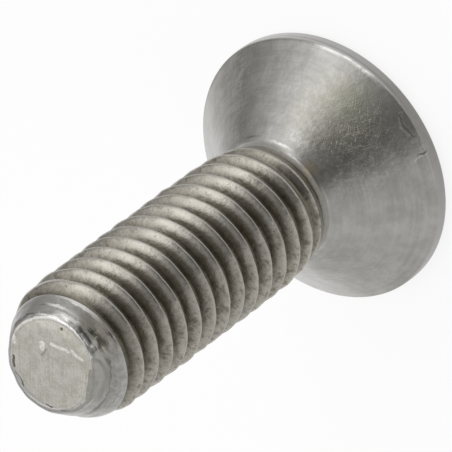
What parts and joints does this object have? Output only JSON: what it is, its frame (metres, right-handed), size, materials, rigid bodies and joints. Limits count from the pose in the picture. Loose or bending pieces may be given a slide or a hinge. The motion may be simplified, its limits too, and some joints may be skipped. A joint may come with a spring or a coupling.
{
  "type": "countersunk socket screw",
  "caption": "Flat countersunk head screw with a conical underside, a hexagon drive socket and a fully threaded shank with a rounded chamfered point.",
  "frame": {"origin": "centre of the flat head face, which the screw stands on", "axes": "+Z along the shank, from the head to the point; +X is any direction across, fixed by the thread's start"},
  "size_m": [0.0094, 0.0094, 0.0157],
  "materials": {
    "steel": "satin stainless steel, with darker oil-stained thread flanks"
  },
  "bodies": {
    "root": {"screw": "steel"}
  },
  "joints": []
}
